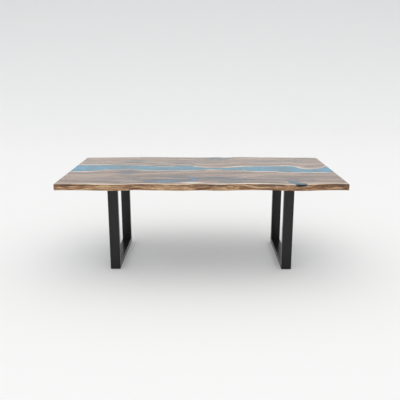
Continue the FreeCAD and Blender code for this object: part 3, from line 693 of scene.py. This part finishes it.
# Smoky strokes in the river, listed as the clouds are
RIVER_SMOKE = [
    (-0.27, 0.135, 0.24, 0.045, 0.75), (-0.27, 0.0, 0.24, 0.025, 0.5), (0.27, 0.055, 0.10, 0.06, 0.35),
    (0.04, 0.09, 0.10, 0.05, 0.4), (-0.62, 0.06, 0.08, 0.06, 0.3),
]

# Darker (+) and lighter (-) stretches of the live edges: middle x, reach along, strength
FRONT_EDGE_TONES = [
    (-0.99, 0.14, 0.26), (-0.68, 0.07, -0.14), (-0.24, 0.14, -0.22), (-0.03, 0.05, 0.10),
    (0.50, 0.15, 0.26), (1.03, 0.10, 0.40),
]
REAR_EDGE_TONES = [(-0.80, 0.20, 0.12), (-0.15, 0.15, -0.12), (0.55, 0.20, 0.15)]


def edge_ripple(seed):
    """How far a live edge dips below its course: long swells, ridges along the grain and small dents."""
    def ripple(x, z):
        swell = lattice_noise(x, z, 110 * MM, 30 * MM, seed)
        ridge = lattice_noise(x, z, 240 * MM, 7 * MM, seed + 1)
        dent = lattice_noise(x, z, 21 * MM, 12 * MM, seed + 2)
        return EDGE_RIPPLE * (0.5 + 0.28 * swell + 0.14 * ridge + 0.08 * dent)
    return ripple


def make_slab(node, near, far, ripple_seed, material, **growth):
    """A walnut slab from its outer edge to its bank, in place of its CAD node."""
    points, faces = plank(near, far, TOP_Z - LACQUER_STEP, EASE, edge_ripple(ripple_seed))
    attributes = slab_attributes(points, near, far, **growth)
    piece = make_piece(f"{node}_wood", points, faces.tolist(), material, attributes)
    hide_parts(node)


walnut = lacquered_walnut()
make_slab(
    "rear_slab", rear_edge, rear_bank, ripple_seed=37, material=walnut, clouds=REAR_CLOUDS,
    pale_patches=REAR_PATCHES, edge_tones=REAR_EDGE_TONES, outer_sap=16 * MM, pith_share=0.44, seed=11)
make_slab(
    "front_slab", front_edge, front_bank, ripple_seed=31, material=walnut, clouds=FRONT_CLOUDS,
    pale_patches=FRONT_PATCHES, edge_tones=FRONT_EDGE_TONES, outer_sap=24 * MM, pith_share=0.52, seed=21)

river_points, river_faces = plank(resin_front, resin_rear, TOP_Z, ease_near=0.0)
river_smoke = soft_ovals(*river_points.T[:2], RIVER_SMOKE)
river = make_piece(
    "river_pour", river_points, river_faces.tolist(), cast_river_resin(), {"smoke": river_smoke})
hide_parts("river_resin")

blue_fill = cast_fill_resin("blue_fill_resin", [
    (0.26, "#40382F"), (0.40, "#2C3C4A"), (0.58, "#2A4A64"), (0.85, "#345F82"), (1.0, "#447694")])
smoky_fill = cast_fill_resin("smoky_fill_resin", [
    (0.26, "#40382F"), (0.45, "#4A4B4C"), (0.70, "#56646C"), (1.0, "#62757F")])
FILL_RESINS = {
    "left_streak_fill": blue_fill,
    "crack_fill": blue_fill,
    "right_streak_fill": smoky_fill,
    "rear_knot_fill": smoky_fill,
}
for fill_node, fill_material in FILL_RESINS.items():
    resin_fill(fill_node, fill_material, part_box(fill_node)[0].z)
resin_fill("edge_pocket_fill", dark_pocket_resin(), TOP_Z - POCKET_DEPTH, front_edge)

# Finishes of the pieces whose CAD shape is right

FINISHES = {
    "black_steel": black_powder_coat(),
    "zinc_steel": plated_metal("zinc_plate", "#C9CBCB", "#A6A9AB", 0.28),
    "brass": plated_metal("turned_brass", "#C8A45E", "#A58446", 0.25),
    "black_nylon": moulded_nylon(),
}
for subpart in frame["record"]["subparts"]:
    if subpart["material_slot"] in FINISHES:
        finished_mesh = frame["nodes"][subpart["node"]].data
        finished_mesh.materials.clear()
        finished_mesh.materials.append(FINISHES[subpart["material_slot"]])

# Stage, light and camera

STAGE_WIDTH = 24.0
STAGE_FRONT = -9.0
STAGE_BACK = 8.0
STAGE_HEIGHT = 9.0
SWEEP_RADIUS = 4.0
SWEEP_STEPS = 24
PAPER = "#EEEEEE"
PAPER_GLOW = 0.9
PAPER_GLOW_SHARE = 0.15
HORIZON_LIGHT = 0.44
ZENITH_LIGHT = 1.46
BACKGROUND = 0.87
COOL_WHITE = "#F2F9FF"
WARM_WHITE = "#FFFDFA"

CAMERA_PLACE = (0.0087, -4.2656, 1.577)
CAMERA_PITCH = 14.305  # degrees below level
CAMERA_YAW = 0.304  # degrees to the left
FOCAL_PIXELS = 515.86  # focal length, in pixels of a picture FRAME_PIXELS wide
FRAME_PIXELS = 400
SENSOR_WIDTH = 36.0  # millimetres


def seen_rays(tree):
    """1 for rays that see the room: the camera's own, mirrored ones and those let through."""
    path = add(tree, "LightPath", {}).outputs
    seen = path["Is Camera Ray"]
    for kind in ("Is Glossy Ray", "Is Transmission Ray"):
        seen = add(tree, "Math", {0: seen, 1: path[kind]}, operation="MAXIMUM").outputs[0]
    return seen


def studio_paper():
    """Matt white paper with a faint even glow where it is seen, and clear from behind."""
    material, tree, output = new_material("studio_paper")
    paper = add(tree, "BsdfDiffuse", {"Color": linear(PAPER)})
    glow = add(tree, "Emission", {"Color": (1, 1, 1, 1), "Strength": PAPER_GLOW})
    share = add(tree, "Math", {0: seen_rays(tree), 1: PAPER_GLOW_SHARE}, operation="MULTIPLY").outputs[0]
    front = add(tree, "MixShader", {0: share, 1: paper.outputs[0], 2: glow.outputs[0]})
    clear = add(tree, "BsdfTransparent", {})
    behind = add(tree, "NewGeometry", {}).outputs["Backfacing"]
    mixed = add(tree, "MixShader", {0: behind, 1: front.outputs[0], 2: clear.outputs[0]})
    tree.links.new(mixed.outputs[0], output.inputs["Surface"])
    return material


def studio_sweep():
    """Paper sweep: a floor that turns up into a back wall through a quarter circle, carried along x."""
    turn = np.linspace(0, math.pi / 2, SWEEP_STEPS)
    wall_y = STAGE_BACK + SWEEP_RADIUS
    y = np.concatenate([[STAGE_FRONT], STAGE_BACK + SWEEP_RADIUS * np.sin(turn), [wall_y]])
    z = np.concatenate([[0.0], SWEEP_RADIUS * (1 - np.cos(turn)), [STAGE_HEIGHT]])
    x = np.array([-STAGE_WIDTH / 2, STAGE_WIDTH / 2])
    points = np.stack(np.broadcast_arrays(x[:, None], y[None], z[None]), axis=-1).reshape(-1, 3)
    mesh = bpy.data.meshes.new("studio_sweep")
    mesh.from_pydata(points.tolist(), [], grid_faces(2, len(y)).tolist())
    mesh.polygons.foreach_set("use_smooth", np.ones(len(mesh.polygons), bool))
    mesh.materials.append(studio_paper())
    sweep = bpy.data.objects.new("studio_sweep", mesh)
    bpy.context.scene.collection.objects.link(sweep)


def white_world():
    """A white room that lights the table, cool round its walls and brightest overhead.

    Where it is seen or mirrored it is an even white.
    """
    world = bpy.data.worlds.new("white_room")
    bpy.context.scene.world = world
    world.use_nodes = True
    tree = world.node_tree
    tree.nodes.clear()
    way = add(tree, "TexCoord", {}).outputs["Generated"]
    height = add(tree, "SeparateXYZ", {0: way}).outputs["Z"]
    light = add(tree, "MapRange", {
        "Value": height, "To Min": HORIZON_LIGHT, "To Max": ZENITH_LIGHT}).outputs[0]
    white = add(tree, "Mix", {
        MIX_SHARE: height, MIX_FROM: linear(COOL_WHITE), MIX_TO: linear(WARM_WHITE)},
        data_type="RGBA").outputs[MIX_RESULT]
    room = add(tree, "Background", {"Color": white, "Strength": light})
    even_white = add(tree, "Background", {"Color": (1, 1, 1, 1), "Strength": BACKGROUND})
    mixed = add(tree, "MixShader", {0: seen_rays(tree), 1: room.outputs[0], 2: even_white.outputs[0]})
    output = tree.nodes.new("ShaderNodeOutputWorld")
    tree.links.new(mixed.outputs[0], output.inputs["Surface"])


def soft_lamp(name, place, target, size, power):
    """A large square softbox aimed at a point."""
    lamp = bpy.data.lights.new(name, "AREA")
    lamp.size = size
    lamp.energy = power
    lamp.color = linear(WARM_WHITE)[:3]
    holder = bpy.data.objects.new(name, lamp)
    bpy.context.scene.collection.objects.link(holder)
    holder.location = place
    away = np.array(place) - np.array(target)
    tilt = math.acos(away[2] / np.linalg.norm(away))
    holder.rotation_euler = (tilt, 0, math.atan2(away[0], -away[1]))
    holder.visible_camera = False


def photo_camera():
    """A camera in front of the table, tilted down and turned a little to the left, without roll."""
    camera_data = bpy.data.cameras.new("camera")
    camera_data.sensor_width = SENSOR_WIDTH
    camera_data.lens = SENSOR_WIDTH * FOCAL_PIXELS / FRAME_PIXELS
    camera = bpy.data.objects.new("camera", camera_data)
    bpy.context.scene.collection.objects.link(camera)
    camera.location = CAMERA_PLACE
    camera.rotation_euler = (math.radians(90 - CAMERA_PITCH), 0, math.radians(CAMERA_YAW))
    bpy.context.scene.camera = camera


studio_sweep()
white_world()
soft_lamp("front_fill", place=(0.0, -7.5, 2.4), target=(0.0, 0.0, 0.6), size=4.0, power=38.0)
photo_camera()
bpy.context.scene.view_settings.view_transform = "Standard"
